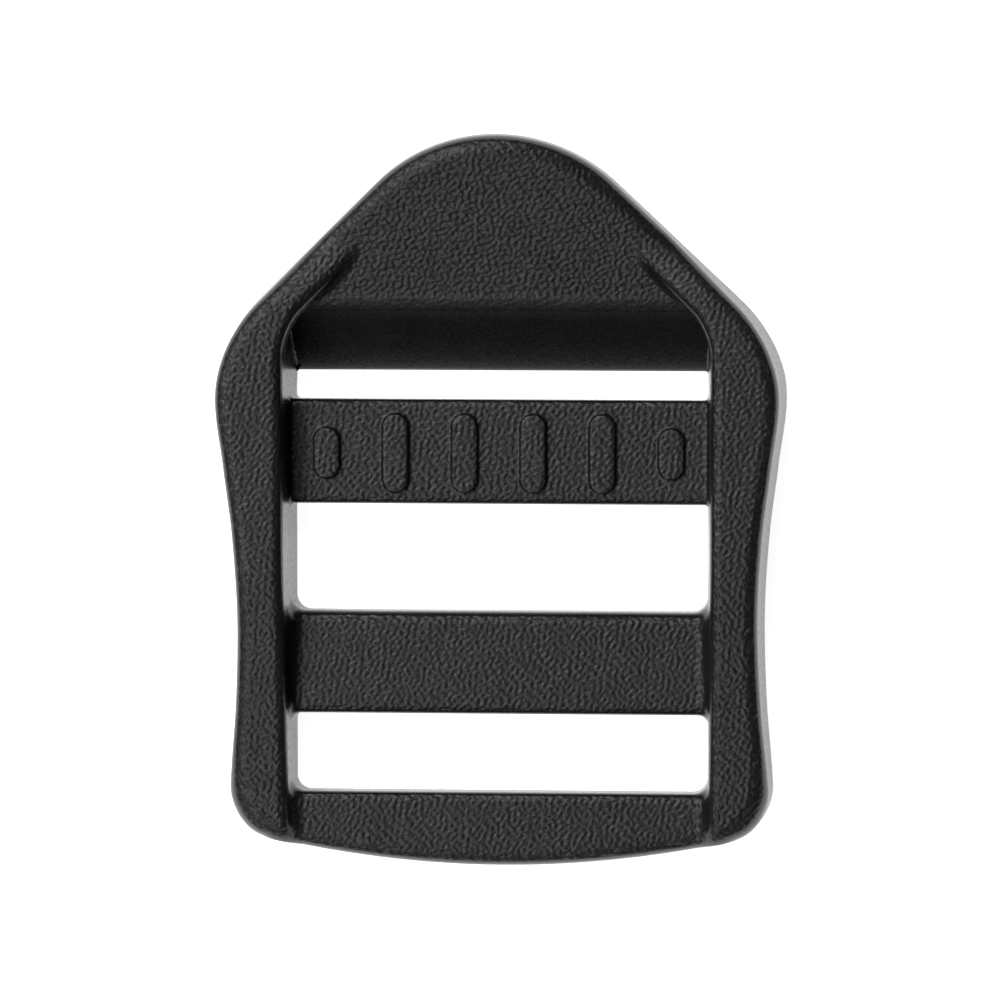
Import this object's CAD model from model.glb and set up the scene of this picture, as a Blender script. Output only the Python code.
import math

import bmesh
import bpy
import numpy as np
from mathutils import Matrix, Vector


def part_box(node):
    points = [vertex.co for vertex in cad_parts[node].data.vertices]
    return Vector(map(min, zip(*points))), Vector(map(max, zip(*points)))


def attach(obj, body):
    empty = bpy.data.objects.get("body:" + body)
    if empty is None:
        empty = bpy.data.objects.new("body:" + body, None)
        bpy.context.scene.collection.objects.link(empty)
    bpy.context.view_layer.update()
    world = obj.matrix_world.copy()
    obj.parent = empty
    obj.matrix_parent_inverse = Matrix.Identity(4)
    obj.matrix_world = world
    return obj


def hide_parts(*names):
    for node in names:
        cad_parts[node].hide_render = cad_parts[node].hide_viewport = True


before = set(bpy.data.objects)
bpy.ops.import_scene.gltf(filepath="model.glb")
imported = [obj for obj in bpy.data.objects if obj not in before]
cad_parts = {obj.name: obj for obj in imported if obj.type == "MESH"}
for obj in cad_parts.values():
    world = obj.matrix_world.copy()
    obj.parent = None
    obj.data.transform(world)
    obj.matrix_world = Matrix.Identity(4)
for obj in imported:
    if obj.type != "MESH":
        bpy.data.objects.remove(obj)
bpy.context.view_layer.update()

# The buckle is one injection moulding. Its skin is made here as one smooth field, with the
# mould's roundings and grain in the mesh, and then divided into the regions that the CAD names.
# Lengths are millimetres until the meshes are made. The drawing's y differs from the frame's by
# SHIFT_Y.

MM = 0.001
STEP = 0.1      # size of the field's cells
SEED = 7

NAMES = ["left_rail", "right_rail", "thumb_tab", "grip_bar", "middle_bar", "end_bar"]
LEFT_RAIL, RIGHT_RAIL, THUMB_TAB, GRIP_BAR, MIDDLE_BAR, END_BAR = range(6)
FIRST_RIB = len(NAMES)
NAMES += ["grip_rib_%d" % (i + 1) for i in range(6)]


def node_box(name):
    """A CAD node's lowest and highest corners, in millimetres."""
    low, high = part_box(name)
    return np.array(low) / MM, np.array(high) / MM


# ---- sizes -------------------------------------------------------------------------------------

# outline and outer walls
TIP_Y = 23.1
TIP_RADIUS = 10.5
BOTTOM_Y = -23.1
WALL_LEAN = 0.35           # how far the foot of the outer walls lies outside the outline
LEAN_HEIGHT = 6.5          # the walls reach the outline at this height
SHIFT_Y = node_box("end_bar")[0][1] - (BOTTOM_Y - WALL_LEAN)

# rails: level, then falling toward the end bar, then level again
RAIL_TOP = 6.5
RAIL_END_TOP = 4.3
RAIL_FALL_Y = -5.0
RAIL_LEVEL_Y = -19.0
RAIL_COS = 0.99            # cosine of the fall's slope
RIM_ROUND = 0.85
RIM_ROUND_MORE = 0.75      # added to the rim's rounding toward the end bar
INNER_ROUND = 0.65

# the channel between the rails, and the ridges that close in on the tab
CHANNEL_HALF = 13.0
CHANNEL_LEAN = 0.065
CHANNEL_TURN = 1.2
RIDGE_SUM = 24.0           # x + y on the ridges' inner faces at their foot
RIDGE_FOOT_Z = 5.0
RIDGE_LEAN = 0.3           # how much that sum grows per millimetre above the foot
TURN_LEAN = -1.0           # and below it
RIDGE_DROP = 0.5
RIDGE_END_Y = 16.3

# thumb tab
TAB_FRONT_Y = 12.2
TAB_FRONT_Z = 4.6
TAB_BACK_Y = 7.78
TAB_ROUND = 0.95
TAB_ROUND_MORE = 0.25      # added to the rim's rounding toward the tip
TAB_EDGE_ROUND = 0.06
FRONT_SLOPE = (8.35 - TAB_FRONT_Z) / (TIP_Y - TAB_FRONT_Y)
BACK_SLOPE = 5.9 / (TIP_Y - TAB_BACK_Y)
LIP_DROP = 0.10            # the tab's front edge dips by this
LIP_WIDTH = 0.8
FOOT_ROUND = 0.08          # hollow fillet between the tab and the ridges
FOOT_ROUND_MORE = 0.35

# bars: each has roundings on its upper and lower front edges
SLOT_1 = (6.27, 7.78)
SLOT_2 = (-7.12, -0.35)
SLOT_3 = (-18.6, -13.65)
GRIP_TOP = 3.4
GRIP_ROUNDS = (0.45, 0.6)
GRIP_CORNER = 0.3          # hollow fillets where the bars meet the rails
MIDDLE_TOP = 3.4
MIDDLE_ROUNDS = (0.8, 0.7)
MIDDLE_CORNER = 0.65
MIDDLE_CORNER_MORE = 0.3   # added toward slot 2
END_TOP = 3.2
END_ROUNDS = (0.6, 1.15)
END_CORNER = 0.9
BAR_END_X = 14.2
BAR_END_ROUND = 0.1
BAR_DRAFT = 0.06
DRAFT_Z = 3.0

# grip ribs
RIBS = [node_box(name) for name in NAMES[FIRST_RIB:]]
RIB_Y = 2.9
RIB_WIDTH = 1.6
RIB_ROOT_Z = 3.0
RIB_TOP = 3.7
RIB_ROUND = 0.16
RIB_FOOT_ROUND = 0.06

# back
BACK_ROUND = 0.3
BACK_ROUND_LESS = 0.24     # taken off that at slot 1's upper edge
SLOT_EDGE_X = 14.0

# planes between the regions
PART_X = 12.95
PART_SUM = 23.6
MEET_Y = TAB_FRONT_Y + (RAIL_TOP - TAB_FRONT_Z) / FRONT_SLOPE
TIP_HALF = 3.0
TAB_CUT_Y = SLOT_1[0] + 0.7
GRIP_CUT_Y = SLOT_2[1] - 1.0
MIDDLE_CUT_Y = SLOT_3[1] - 1.5
RIB_MARGIN = 0.07
CAP_DEPTH = 0.2            # how far under the skin the caps lie
CAP_LOW_Z = 0.1
CREASE_COS = 0.84          # corners sharper than this keep each side's own normal
BENDS = [
    (side * x, y) for side in (-1, 1)
    for x, y in ((PART_X, PART_SUM - PART_X), (PART_SUM - MEET_Y, MEET_Y))]

# grain
GRAIN_PITCH = 0.30
GRAIN_STRETCH = 1.25
GRAIN_DEPTH = 0.034
GRAIN_WAVES = 70
SMOOTH_DEPTH = 0.0015      # what the smooth walls have of it
LIP_GRAIN = 0.12           # share of the grain on the tab's front edge

# floor, light and camera
FLOOR_HALF = 2.4
FLOOR_DROP = 0.00005
FLOOR_GLOW = 0.95
SOFTBOXES = [
    ("key", (-0.36, 0.16, 0.56), 0.30, 2.2),
    ("front", (-0.25, -0.42, 0.62), 0.35, 1.8),
    ("top", (-0.12, 0.45, 0.62), 0.25, 1.6),
]
CAMERA_DISTANCE = 500.0
CAMERA_LENS = 284.4        # shows a field 63 mm wide at the buckle
CAMERA_LEAN_X = 4.0
CAMERA_LEAN_Y = 5.1
AIM_X = -0.165
AIM_Y = -0.34

# ---- shapes of a field -------------------------------------------------------------------------


def meet(a, b, r):
    """Intersection of two distances with a rounding of radius r."""
    u = np.hypot(np.maximum(a + r, 0), np.maximum(b + r, 0))
    return np.minimum(-r, np.maximum(a, b)) + u


def join(a, b, r):
    """Union of two distances with a hollow fillet of radius r."""
    return -meet(-a, -b, r)


def soft(t, w):
    """Ramp that is 0 below 0 and t above it, rounded over a width."""
    return 0.5 * (t + np.sqrt(t * t + w * w))


def step(t):
    """Smooth step from 0 to 1."""
    t = np.clip(t, 0, 1)
    return t * t * (3 - 2 * t)


def hermite(p, q, tp, tq, n):
    """Points along a cubic from p to q with unit tangents tp and tq, without the last."""
    p, q, tp, tq = (np.array(v, float) for v in (p, q, tp, tq))
    size = np.linalg.norm(q - p)
    tp = tp / np.linalg.norm(tp) * size
    tq = tq / np.linalg.norm(tq) * size
    t = (np.arange(n) / n)[:, None]
    a = 2 * t**3 - 3 * t**2 + 1
    b = t**3 - 2 * t**2 + t
    c = -2 * t**3 + 3 * t**2
    d = t**3 - t**2
    return a * p + b * tp + c * q + d * tq


# ---- the moulding ------------------------------------------------------------------------------


def half_outline():
    """The right half of the front outline, from the tip down to the lowest point."""
    c = TIP_Y - TIP_RADIUS
    angles = np.linspace(math.pi / 2, math.pi / 4, 24, endpoint=False)
    arc = np.stack([TIP_RADIUS * np.cos(angles), c + TIP_RADIUS * np.sin(angles)], axis=1)
    s = TIP_RADIUS * math.sqrt(0.5)
    knots = [
        ((s, c + s), (1, -1)),
        ((15.0, 12.4), (1, -1)),
        ((17.65, 6.4), (0, -1)),
        ((17.15, 2.1), (-0.115, -1)),
        ((16.6, -2.3), (-0.085, -1)),
        ((16.3, -8.0), (0.0, -1)),
        ((16.45, -13.0), (0.055, -1)),
        ((16.85, -18.2), (0.05, -1)),
        ((15.85, -20.75), (-1, -1)),
        ((13.3, -21.75), (-1, -0.2)),
        ((0.0, BOTTOM_Y), (-1, 0)),
    ]
    points = [arc]
    for (p, tp), (q, tq) in zip(knots, knots[1:]):
        points.append(hermite(p, q, tp, tq, 20))
    points.append(np.array([[0.0, BOTTOM_Y]]))
    return np.concatenate(points)


def outline_distance(x, y):
    """Signed distance from the outline, below 0 inside, at each of x by y, for x from 0 up."""
    line = half_outline()
    px, py = np.meshgrid(x, y, indexing="ij")
    best = np.full(px.shape, 1e9)
    inside = np.zeros(px.shape, bool)
    for (ax, ay), (bx, by) in zip(line, line[1:]):
        dx, dy = bx - ax, by - ay
        t = np.clip(((px - ax) * dx + (py - ay) * dy) / (dx * dx + dy * dy), 0, 1)
        best = np.minimum(best, (px - ax - t * dx) ** 2 + (py - ay - t * dy) ** 2)
        spans = (ay > py) != (by > py)
        if ay != by:
            inside ^= spans & (px < ax + (py - ay) / dy * dx)
    best = np.sqrt(best)
    return np.where(inside, -best, best)


def rails(x, y, z, outer):
    """Both rails and the ridges, with the channel cut out between them."""
    slope = (RAIL_TOP - RAIL_END_TOP) / (RAIL_FALL_Y - RAIL_LEVEL_Y)
    top = RAIL_TOP - slope * soft(RAIL_FALL_Y - y, 2.0) + slope * soft(RAIL_LEVEL_Y - y, 1.5)
    top = top - RIDGE_DROP * step((y - TAB_FRONT_Y) / (RIDGE_END_Y - TAB_FRONT_Y))
    rim_round = RIM_ROUND + RIM_ROUND_MORE * step((-15.0 - y) / 6.0)
    body = meet(outer, (z - top) * RAIL_COS, rim_round)
    half = CHANNEL_HALF + CHANNEL_LEAN * z
    lean = np.where(z > RIDGE_FOOT_Z, RIDGE_LEAN, TURN_LEAN)
    total = RIDGE_SUM + lean * (z - RIDGE_FOOT_Z)
    channel = meet(x - half, (x + y - total) * math.sqrt(0.5), CHANNEL_TURN)
    return meet(body, -channel, INNER_ROUND)


def slant(y, z):
    """Distance out of the slanted wall between the tab's front edge and slot 1."""
    run, rise = TAB_FRONT_Y - TAB_BACK_Y, TAB_FRONT_Z
    return (z * run - (y - TAB_BACK_Y) * rise) / math.hypot(run, rise)


def tab(y, z, outer):
    """The thumb tab: its rising front, with a dipping front edge, and the slanted wall."""
    top = TAB_FRONT_Z + FRONT_SLOPE * (y - TAB_FRONT_Y)
    top = top - LIP_DROP * np.clip(1 - (y - TAB_FRONT_Y) / LIP_WIDTH, 0, 1.2) ** 2
    rim_round = TAB_ROUND + TAB_ROUND_MORE * step((y - 16) / 5)
    body = meet(outer, (z - top) / math.hypot(1, FRONT_SLOPE), rim_round)
    return meet(body, slant(y, z), TAB_EDGE_ROUND)


def bar(upper, lower, top, rounds, ends):
    """A bar between an upper and a lower side, with its two front edges rounded."""
    body = meet(meet(upper, top, rounds[0]), lower, rounds[1])
    return meet(body, ends, BAR_END_ROUND)


def add_bars(body, x, y, z, outer):
    """Joins the three bars to the rails with hollow corners."""
    draft = BAR_DRAFT * (DRAFT_Z - z)
    ends = x - BAR_END_X
    grip = bar(y - SLOT_1[0] + draft, SLOT_2[1] - y, z - GRIP_TOP, GRIP_ROUNDS, ends)
    middle = bar(y - SLOT_2[0] + draft, SLOT_3[1] - y, z - MIDDLE_TOP, MIDDLE_ROUNDS, ends)
    end = bar(y - SLOT_3[0] + draft, outer, z - END_TOP, END_ROUNDS, ends)
    middle_corner = MIDDLE_CORNER + MIDDLE_CORNER_MORE * step((y + 13.6) / 6.26)
    body = join(body, grip, GRIP_CORNER)
    body = join(body, middle, middle_corner)
    body = join(body, end, END_CORNER)
    return np.maximum(body, outer)


def rib_plan(x, y, centre, low, high):
    """Distance out of a rib's outline, seen from the front."""
    reach = (high[1] - low[1] - RIB_WIDTH) / 2
    return np.hypot(x - centre, np.maximum(np.abs(y - RIB_Y) - reach, 0)) - RIB_WIDTH / 2


def add_ribs(body, x, y, z):
    """Raises the oval ribs on the grip bar."""
    for low, high in RIBS:
        plan = rib_plan(x, y, abs(low[0] + high[0]) / 2, low, high)
        rib = meet(plan, z - RIB_TOP, RIB_ROUND)
        body = join(body, np.maximum(rib, RIB_ROOT_Z - z), RIB_FOOT_ROUND)
    return body


def field(x, y, z):
    """The moulding's distance field over a grid, for x from 0 up."""
    outline = outline_distance(x, y)[:, :, None].astype(np.float32)
    x = x[:, None, None].astype(np.float32)
    y = y[None, :, None].astype(np.float32)
    z = z[None, None, :].astype(np.float32)
    outer = outline - WALL_LEAN * (1 - z / LEAN_HEIGHT)
    foot_round = FOOT_ROUND + FOOT_ROUND_MORE * step((y - 12.0) / 1.2) * step((16.6 - y) / 2.5)
    body = join(rails(x, y, z, outer), tab(y, z, outer), foot_round)
    body = add_bars(body, x, y, z, outer)
    body = add_ribs(body, x, y, z)
    # the flat back, and the slope under the tab
    under = (BACK_SLOPE * (y - TAB_BACK_Y) - z) / math.hypot(1, BACK_SLOPE)
    at_slot_1 = step((y - 6.9) / 0.5) * step((9.3 - y) / 0.8) * (x < SLOT_EDGE_X)
    back_round = BACK_ROUND - BACK_ROUND_LESS * at_slot_1
    return meet(body, np.maximum(-z, under), back_round)


# ---- from the field to a mesh ------------------------------------------------------------------


def net_points(values):
    """The cells that the surface crosses, and where in each its crossings lie on average."""
    inside = values < 0
    count = np.zeros(tuple(n - 1 for n in values.shape), np.int8)
    nx, ny, nz = count.shape
    for i in (0, 1):
        for j in (0, 1):
            for k in (0, 1):
                count += inside[i:nx + i, j:ny + j, k:nz + k]
    cells = np.argwhere((count > 0) & (count < 8))
    index = np.full(count.shape, -1, np.int32)
    index[tuple(cells.T)] = np.arange(len(cells))
    total = np.zeros((len(cells), 3))
    hits = np.zeros(len(cells))
    for axis in range(3):
        others = [a for a in range(3) if a != axis]
        for p in (0, 1):
            for q in (0, 1):
                a = np.zeros(3, int)
                a[others[0]], a[others[1]] = p, q
                b = a.copy()
                b[axis] = 1
                va = values[tuple((cells + a).T)].astype(float)
                vb = values[tuple((cells + b).T)].astype(float)
                cross = (va < 0) != (vb < 0)
                t = va[cross] / (va[cross] - vb[cross])
                place = np.tile(a.astype(float), (len(t), 1))
                place[:, axis] = t
                total[cross] += place
                hits[cross] += 1
    return index, cells + total / hits[:, None]


def net_quads(values, index):
    """One quad round each grid edge that the surface crosses, facing out."""
    inside = values < 0
    quads = []
    for axis in range(3):
        u, w = (axis + 1) % 3, (axis + 2) % 3
        first = [slice(None)] * 3
        second = [slice(None)] * 3
        first[axis], second[axis] = slice(0, -1), slice(1, None)
        change = inside[tuple(first)] != inside[tuple(second)]
        at = np.argwhere(change)
        at = at[(at[:, u] > 0) & (at[:, w] > 0)]
        at = at[(at[:, u] < values.shape[u] - 1) & (at[:, w] < values.shape[w] - 1)]
        ring = []
        for du, dw in ((-1, -1), (0, -1), (0, 0), (-1, 0)):
            c = at.copy()
            c[:, u] += du
            c[:, w] += dw
            ring.append(index[tuple(c.T)])
        ring = np.stack(ring, axis=1)
        flip = ~inside[tuple(at.T)]
        ring[flip] = ring[flip][:, ::-1]
        quads.append(ring)
    return np.concatenate(quads)


def surface_nets(values, origin, cell):
    """Vertices and quads of the surface where a field is 0, facing out of where it is below 0."""
    index, places = net_points(values)
    return places * cell + origin, net_quads(values, index)


def normals_of(points, quads):
    """Each point's normal, as the mean of its quads' weighted by their area."""
    a = points[quads[:, 2]] - points[quads[:, 0]]
    b = points[quads[:, 3]] - points[quads[:, 1]]
    face = np.cross(a, b)
    out = np.zeros_like(points)
    for corner in range(4):
        for axis in range(3):
            out[:, axis] += np.bincount(quads[:, corner], face[:, axis], len(points))
    return out / np.maximum(np.linalg.norm(out, axis=1), 1e-12)[:, None]


# ---- the grain, as the mould's surface gives it ------------------------------------------------


def grain(points, seed):
    """Bumps of one pitch, a little longer along the diagonal, with a spread near 1."""
    rng = np.random.default_rng(seed)
    angle = rng.uniform(0, 2 * math.pi, GRAIN_WAVES)
    size = 2 * math.pi / (GRAIN_PITCH * rng.uniform(0.8, 1.5, GRAIN_WAVES))
    along = np.cos(angle) * size / GRAIN_STRETCH
    across = np.sin(angle) * size * GRAIN_STRETCH**0.5
    kx = (along - across) * math.sqrt(0.5)
    ky = (along + across) * math.sqrt(0.5)
    kz = rng.uniform(-0.8, 0.8, GRAIN_WAVES) * size
    phase = rng.uniform(0, 2 * math.pi, GRAIN_WAVES)
    x, y, z = points.T
    out = np.zeros(len(points))
    for i in range(GRAIN_WAVES):
        out += np.cos(x * kx[i] + y * ky[i] + z * kz[i] + phase[i])
    return out / math.sqrt(GRAIN_WAVES / 2)


def make_skin():
    """The whole skin: points, quads, vertex normals, and how grained each point is."""
    xs = np.arange(0, 18.5, STEP)
    ys = np.arange(-24.0, 24.0, STEP)
    zs = np.arange(-0.45, 8.9, STEP)
    half = field(xs, ys, zs)
    whole = np.concatenate([half[:0:-1], half])
    origin = np.array([-xs[-1], ys[0], zs[0]])
    points, quads = surface_nets(whole, origin, STEP)
    normals = normals_of(points, quads)
    # only what faces forward is grained, and the slanted wall is smooth
    x, y, z = points.T
    grained = step((normals[:, 2] - 0.62) / 0.3)
    slanted = (np.abs(slant(y, z)) < 0.3) & (normals[:, 1] < -0.6) & (y > TAB_CUT_Y)
    grained = np.where(slanted, 0.0, grained)
    in_tab = (np.abs(x) < CHANNEL_HALF) & (z < TAB_FRONT_Z + 0.6) & (y > TAB_CUT_Y)
    past_lip = 1 - (1 - step((y - TAB_FRONT_Y - 0.55) / 0.25)) * in_tab
    bumps = np.tanh(grain(points, SEED) * 0.8)
    depth = GRAIN_DEPTH * grained * np.maximum(past_lip, LIP_GRAIN) + SMOOTH_DEPTH
    points = points - normals * (depth * (1 - bumps))[:, None]
    return points, quads, normals_of(points, quads), grained


# ---- dividing it into the named regions --------------------------------------------------------


def region_of(centres):
    """The number of the region that each place belongs to."""
    x, y, z = np.abs(centres[:, 0]), centres[:, 1], centres[:, 2]
    out = np.full(len(centres), END_BAR)
    out[y > MIDDLE_CUT_Y] = MIDDLE_BAR
    out[y > GRIP_CUT_Y] = GRIP_BAR
    out[y > TAB_CUT_Y] = THUMB_TAB
    rail = (x > PART_X) | ((x + y > PART_SUM) & (x > TIP_HALF))
    rail &= y < MEET_Y
    out[rail & (centres[:, 0] < 0)] = LEFT_RAIL
    out[rail & (centres[:, 0] > 0)] = RIGHT_RAIL
    on_grip = (z > GRIP_TOP - 0.2) & (z < RIB_TOP + 0.3)
    for i, (low, high) in enumerate(RIBS):
        plan = rib_plan(centres[:, 0], y, (low[0] + high[0]) / 2, low, high)
        out[(plan < RIB_MARGIN) & on_grip] = FIRST_RIB + i
    return out


def fold(loop, x, y):
    """Splits a loop in two between its highest and lowest points on an upright line."""
    on_line = [
        i for i, v in enumerate(loop)
        if math.hypot(v.co.x / MM - x, v.co.y / MM - SHIFT_Y - y) < 0.5]
    if len(on_line) < 2:
        return [loop]
    low = min(on_line, key=lambda i: loop[i].co.z)
    high = max(on_line, key=lambda i: loop[i].co.z)
    if loop[high].co.z - loop[low].co.z < 1.0 * MM:
        return [loop]
    a, b = sorted((low, high))
    return [loop[a:b + 1], loop[b:] + loop[:a + 1]]


def cap(bm):
    """Closes every open loop of a mesh, folding the face where the cut between regions turns."""
    ahead = {}
    for edge in [e for e in bm.edges if e.is_boundary]:
        corner = edge.link_loops[0]
        ahead[corner.link_loop_next.vert] = corner.vert
    faces = []
    while ahead:
        vert, following = ahead.popitem()
        loop = [vert]
        while following in ahead:
            loop.append(following)
            following = ahead.pop(following)
        parts = [loop]
        for x, y in BENDS:
            parts = [half for part in parts for half in fold(part, x, y)]
        faces += [bm.faces.new(part) for part in parts if len(part) > 2]
    return faces


def close(mesh):
    """Turns a mesh's open edges in under the skin and caps them there."""
    bm = bmesh.new()
    bm.from_mesh(mesh)
    bm.normal_update()
    open_edges = [e for e in bm.edges if e.is_boundary]
    turned_in = bmesh.ops.extrude_edge_only(bm, edges=open_edges)["geom"]
    inner = {item for item in turned_in if isinstance(item, bmesh.types.BMVert)}
    for vert in inner:
        twin = next(e.other_vert(vert) for e in vert.link_edges if e.other_vert(vert) not in inner)
        vert.co = twin.co - twin.normal * CAP_DEPTH * MM
        vert.co.z = max(vert.co.z, CAP_LOW_Z * MM)
    bmesh.ops.triangulate(bm, faces=cap(bm))
    bm.to_mesh(mesh)
    bm.free()


def shade(mesh, skin_faces, skin_normals):
    """Gives the skin its smooth normals, and creases and caps each face's own."""
    smooth = np.zeros(len(mesh.polygons), bool)
    smooth[:skin_faces] = True
    mesh.polygons.foreach_set("use_smooth", smooth)
    mesh.update()
    vertices = np.empty(len(mesh.loops), np.int32)
    mesh.loops.foreach_get("vertex_index", vertices)
    sides = np.empty(len(mesh.polygons), np.int32)
    mesh.polygons.foreach_get("loop_total", sides)
    face_normals = np.empty(len(mesh.polygons) * 3, np.float32)
    mesh.polygons.foreach_get("normal", face_normals)
    face_of_loop = np.repeat(np.arange(len(sides)), sides)
    own = face_normals.reshape(-1, 3)[face_of_loop]
    loop_normals = skin_normals[np.minimum(vertices, len(skin_normals) - 1)]
    flat = ~smooth[face_of_loop] | ((loop_normals * own).sum(axis=1) < CREASE_COS)
    loop_normals[flat] = own[flat]
    mesh.normals_split_custom_set(loop_normals.tolist())


def make_piece(name, points, quads, normals, grained, material):
    """A closed mesh object from some of the skin's quads, capped where it meets its neighbours."""
    used, corners = np.unique(quads, return_inverse=True)
    place = points[used].copy()
    place[:, 1] += SHIFT_Y
    mesh = bpy.data.meshes.new(name)
    mesh.from_pydata((place * MM).tolist(), [], corners.reshape(-1, 4).tolist())
    mesh.validate()
    attribute = mesh.attributes.new("grained", "FLOAT", "POINT")
    attribute.data.foreach_set("value", grained[used].astype(np.float32))
    skin_faces = len(mesh.polygons)
    close(mesh)
    shade(mesh, skin_faces, normals[used])
    mesh.materials.append(material)
    piece = bpy.data.objects.new(name, mesh)
    bpy.context.scene.collection.objects.link(piece)
    return piece


# ---- materials ---------------------------------------------------------------------------------


def noise(tree, scale, detail, roughness=0.5):
    """A noise over the object's own coordinates."""
    coords = tree.nodes.new("ShaderNodeTexCoord")
    node = tree.nodes.new("ShaderNodeTexNoise")
    node.inputs["Scale"].default_value = scale
    node.inputs["Detail"].default_value = detail
    node.inputs["Roughness"].default_value = roughness
    tree.links.new(coords.outputs["Object"], node.inputs["Vector"])
    return node.outputs["Fac"]


def ranged(tree, value, low, high, from_low=0.0, from_high=1.0):
    """A value mapped from one range to another."""
    node = tree.nodes.new("ShaderNodeMapRange")
    node.inputs["From Min"].default_value = from_low
    node.inputs["From Max"].default_value = from_high
    node.inputs["To Min"].default_value = low
    node.inputs["To Max"].default_value = high
    tree.links.new(value, node.inputs["Value"])
    return node.outputs["Result"]


def plastic():
    """Near-black moulded plastic: grained fronts, smoother walls, with a faint uneven sheen."""
    material = bpy.data.materials.new("moulded_plastic")
    material.use_nodes = True
    tree = material.node_tree
    nodes, links = tree.nodes, tree.links
    shader = nodes["Principled BSDF"]
    shader.inputs["IOR"].default_value = 1.47
    grained = nodes.new("ShaderNodeAttribute")
    grained.attribute_name = "grained"
    # colour: almost black, very slightly uneven
    ramp = nodes.new("ShaderNodeValToRGB")
    ramp.color_ramp.elements[0].position = 0.35
    ramp.color_ramp.elements[0].color = (0.0085, 0.0085, 0.0088, 1)
    ramp.color_ramp.elements[1].position = 0.70
    ramp.color_ramp.elements[1].color = (0.0125, 0.0124, 0.0123, 1)
    links.new(noise(tree, 420, 6), ramp.inputs["Fac"])
    links.new(ramp.outputs["Color"], shader.inputs["Base Color"])
    # roughness: the grained fronts are duller than the walls
    rough = nodes.new("ShaderNodeMath")
    rough.operation = "ADD"
    links.new(ranged(tree, grained.outputs["Fac"], 0.27, 0.42), rough.inputs[0])
    links.new(ranged(tree, noise(tree, 3800, 3), -0.05, 0.06, 0.3, 0.7), rough.inputs[1])
    links.new(rough.outputs["Value"], shader.inputs["Roughness"])
    # the grain's finer part, on top of what the mesh holds
    bump = nodes.new("ShaderNodeBump")
    bump.inputs["Distance"].default_value = 0.00006
    links.new(ranged(tree, grained.outputs["Fac"], 0.05, 0.9), bump.inputs["Strength"])
    links.new(noise(tree, 3600, 2, 0.55), bump.inputs["Height"])
    links.new(bump.outputs["Normal"], shader.inputs["Normal"])
    return material


def floor_material():
    """A pale floor that glows a little, so that no shadow darkens it."""
    material = bpy.data.materials.new("pale_floor")
    material.use_nodes = True
    shader = material.node_tree.nodes["Principled BSDF"]
    shader.inputs["Base Color"].default_value = (0.92, 0.92, 0.92, 1)
    shader.inputs["Roughness"].default_value = 0.9
    shader.inputs["Emission Color"].default_value = (1, 1, 1, 1)
    shader.inputs["Emission Strength"].default_value = FLOOR_GLOW
    return material


# ---- floor, lights, camera ---------------------------------------------------------------------


def make_floor():
    """A square floor just under the buckle."""
    s = FLOOR_HALF
    mesh = bpy.data.meshes.new("floor")
    mesh.from_pydata([(-s, -s, 0), (s, -s, 0), (s, s, 0), (-s, s, 0)], [], [(0, 1, 2, 3)])
    mesh.materials.append(floor_material())
    floor = bpy.data.objects.new("floor", mesh)
    bpy.context.scene.collection.objects.link(floor)
    floor.location.z = -FLOOR_DROP
    return floor


def aim(obj, place, target):
    """Puts an object at a place with its -Z toward a target and its Y up the frame."""
    place, target = Vector(place), Vector(target)
    back = (place - target).normalized()
    right = Vector((0, 1, 0)).cross(back).normalized()
    turn = Matrix((right, back.cross(right), back)).transposed().to_4x4()
    obj.matrix_world = Matrix.Translation(place) @ turn


def softbox(name, place, size, watts):
    """A square area light aimed at the buckle."""
    light = bpy.data.lights.new(name, "AREA")
    light.shape = "RECTANGLE"
    light.size, light.size_y = size, size
    light.energy = watts
    obj = bpy.data.objects.new(name, light)
    bpy.context.scene.collection.objects.link(obj)
    aim(obj, place, (0, 0, 0))


def dim_world():
    """A nearly dark surround, so that the softboxes do the lighting."""
    world = bpy.data.worlds.new("studio")
    world.use_nodes = True
    world.node_tree.nodes["Background"].inputs["Color"].default_value = (1, 1, 1, 1)
    world.node_tree.nodes["Background"].inputs["Strength"].default_value = 0.004
    bpy.context.scene.world = world
    bpy.context.scene.view_settings.view_transform = "Standard"


def make_camera():
    """Looks almost straight down at the front, from a little to the right and above."""
    data = bpy.data.cameras.new("camera")
    data.sensor_width = 36.0
    data.lens = CAMERA_LENS
    data.clip_start, data.clip_end = 0.01, 10
    camera = bpy.data.objects.new("camera", data)
    bpy.context.scene.collection.objects.link(camera)
    target = np.array([AIM_X, AIM_Y + SHIFT_Y, 0.0])
    lean = [math.tan(math.radians(CAMERA_LEAN_X)), math.tan(math.radians(CAMERA_LEAN_Y)), 1.0]
    eye = target + np.array(lean) / np.linalg.norm(lean) * CAMERA_DISTANCE
    aim(camera, eye * MM, target * MM)
    return camera


# ---- build -------------------------------------------------------------------------------------

points, quads, normals, grained = make_skin()
region = region_of(points[quads].mean(axis=1))
black = plastic()
for number, name in enumerate(NAMES):
    mine = quads[region == number]
    piece = make_piece(name + "_skin", points, mine, normals, grained, black)
    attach(piece, "root")
    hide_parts(name)

make_floor()
for name, place, size, watts in SOFTBOXES:
    softbox(name, place, size, watts)
dim_world()
bpy.context.scene.camera = make_camera()
